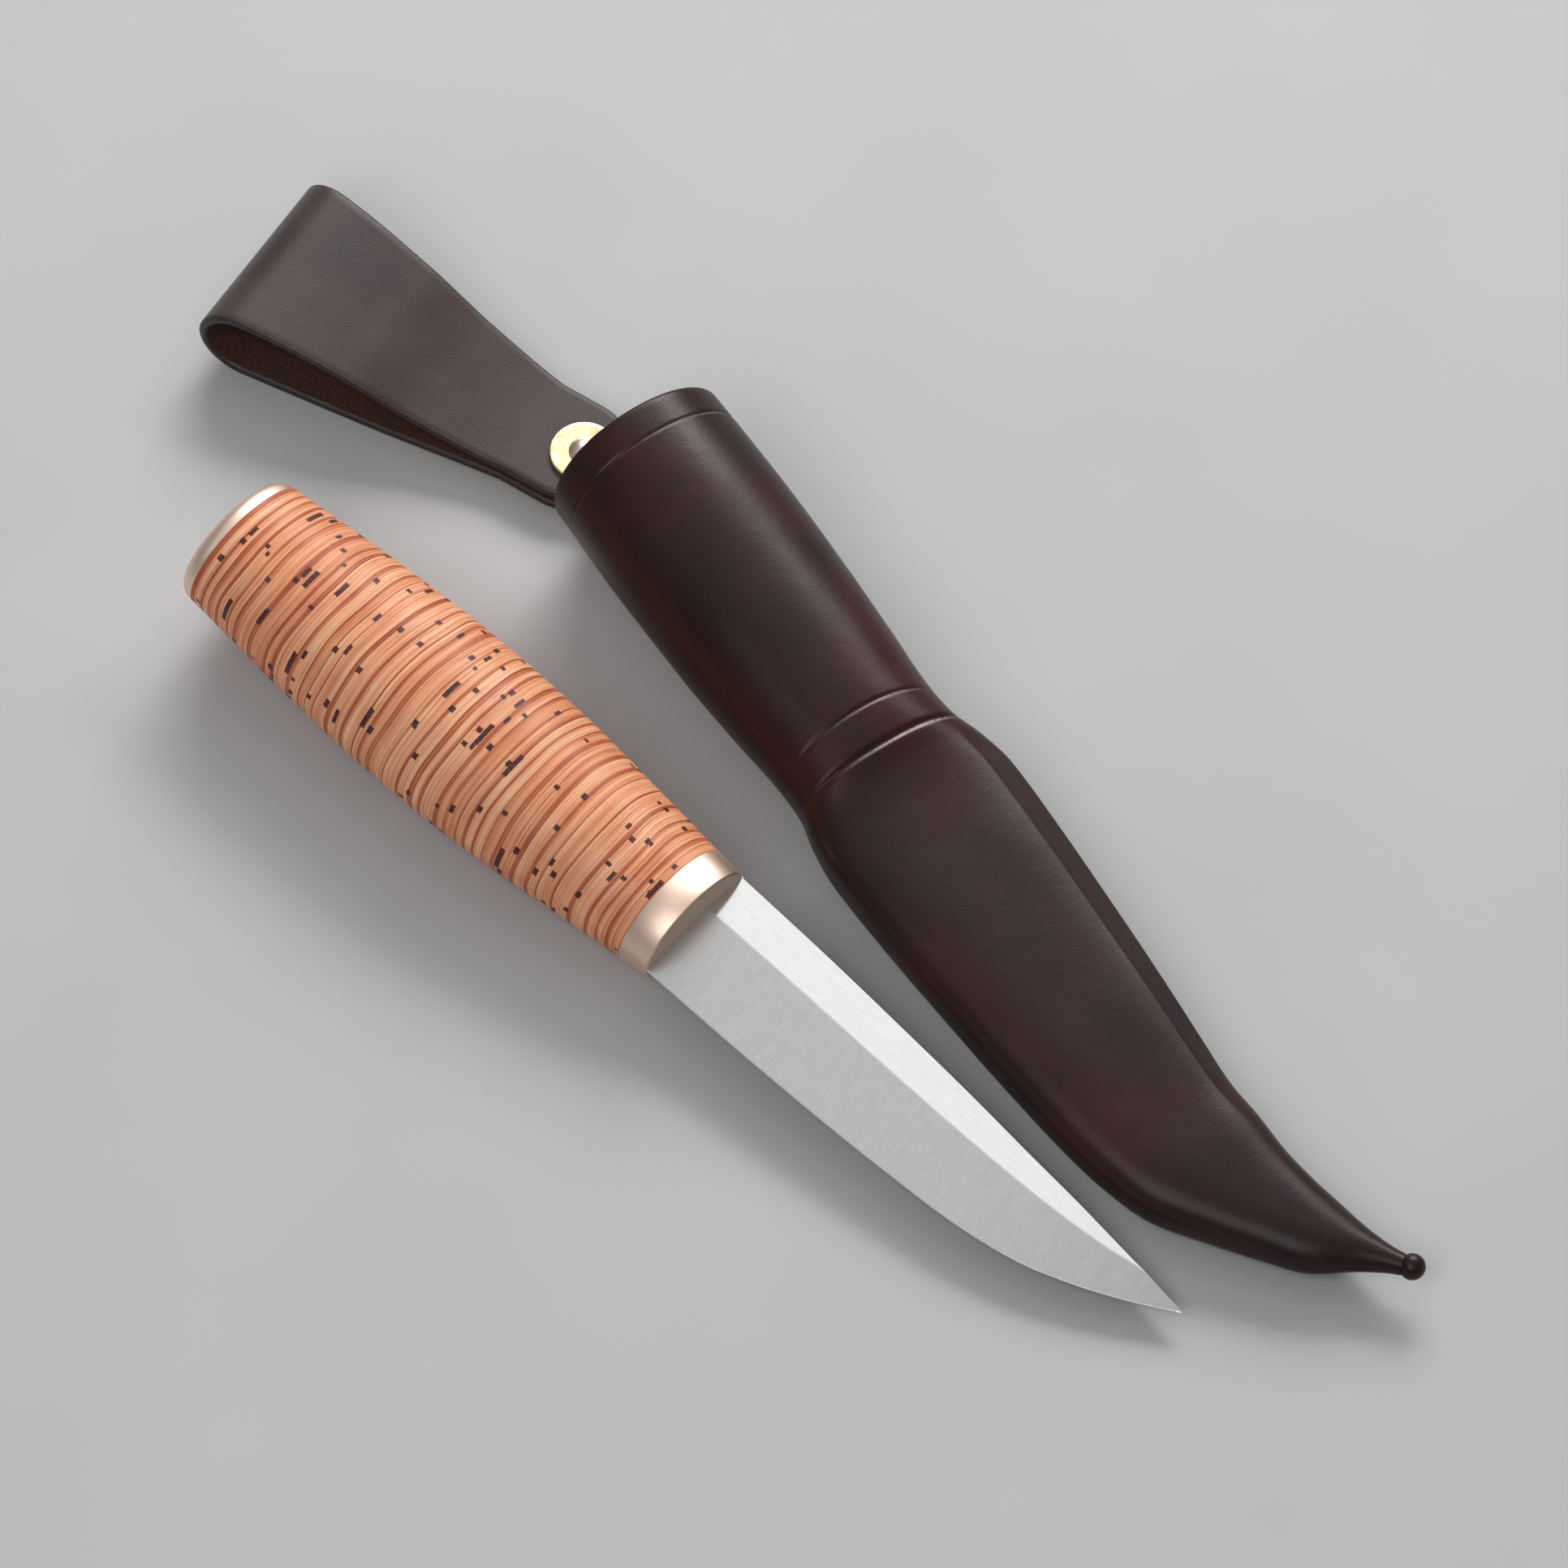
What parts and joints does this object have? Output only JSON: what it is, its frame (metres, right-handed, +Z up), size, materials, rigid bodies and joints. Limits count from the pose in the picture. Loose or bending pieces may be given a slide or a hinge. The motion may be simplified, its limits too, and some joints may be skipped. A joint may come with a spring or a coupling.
{
  "type": "whittling knife with leather sheath",
  "caption": "Straight carving knife with a stacked birch-bark handle, bronze bolster and pommel, lying beside its moulded leather sheath with a riveted belt loop.",
  "frame": {"origin": "middle of the footprint of the whole set, on the surface that it lies on", "axes": "+X along the sheath from its mouth to its tail, +Z up from that surface; the knife points 13 degrees to the left of +X"},
  "size_m": [0.2857, 0.1034, 0.0315],
  "materials": {
    "bronze": "satin, pale rose bronze",
    "birch_bark": "sanded, oiled, semi-matte, finely layered",
    "blade_steel": "fine cross-ground bevel, polished flat",
    "sheath_leather": "smooth, waxed, semi-gloss, dark brown",
    "strap_leather": "smooth grain outside, suede flesh side inside, burnished edges",
    "liner_wood": "bare, matte",
    "thread": "waxed linen",
    "washer_brass": "polished, pale gold",
    "rivet_steel": "polished, domed"
  },
  "bodies": {
    "sheath": {"sheath_leather": "sheath_leather", "liner_front": "liner_wood", "liner_back": "liner_wood", "seam_thread": "thread", "front_washer": "washer_brass", "rivet": "rivet_steel"},
    "loop": {"belt_loop": "strap_leather"},
    "knife": {"pommel_cap": "bronze", "bark_disc_01": "birch_bark", "bark_disc_02": "birch_bark", "bark_disc_03": "birch_bark", "bark_disc_04": "birch_bark", "bark_disc_05": "birch_bark", "bark_disc_06": "birch_bark", "bark_disc_07": "birch_bark", "bark_disc_08": "birch_bark", "bark_disc_09": "birch_bark", "bark_disc_10": "birch_bark", "bark_disc_11": "birch_bark", "bark_disc_12": "birch_bark", "bark_disc_13": "birch_bark", "bark_disc_14": "birch_bark", "bark_disc_15": "birch_bark", "bark_disc_16": "birch_bark", "bark_disc_17": "birch_bark", "bark_disc_18": "birch_bark", "bark_disc_19": "birch_bark", "bark_disc_20": "birch_bark", "bark_disc_21": "birch_bark", "bark_disc_22": "birch_bark", "bark_disc_23": "birch_bark", "bark_disc_24": "birch_bark", "bark_disc_25": "birch_bark", "bark_disc_26": "birch_bark", "bark_disc_27": "birch_bark", "bark_disc_28": "birch_bark", "bark_disc_29": "birch_bark", "bark_disc_30": "birch_bark", "bark_disc_31": "birch_bark", "bark_disc_32": "birch_bark", "bark_disc_33": "birch_bark", "bark_disc_34": "birch_bark", "bark_disc_35": "birch_bark", "bark_disc_36": "birch_bark", "bark_disc_37": "birch_bark", "bark_disc_38": "birch_bark", "bark_disc_39": "birch_bark", "bark_disc_40": "birch_bark", "bolster": "bronze", "blade": "blade_steel"}
  },
  "joints": [
    {"name": "loop_swing", "type": "hinge", "parent": "sheath", "child": "loop", "pos_m": [-0.07165, 0.02389, 0.0054], "axis": [0, 0, 1], "range_deg": [-57, 12]},
    {"name": "knife_lift", "type": "slide", "parent": "sheath", "child": "knife", "axis": [0, 0, 1], "range_m": [0, 0.12]}
  ]
}
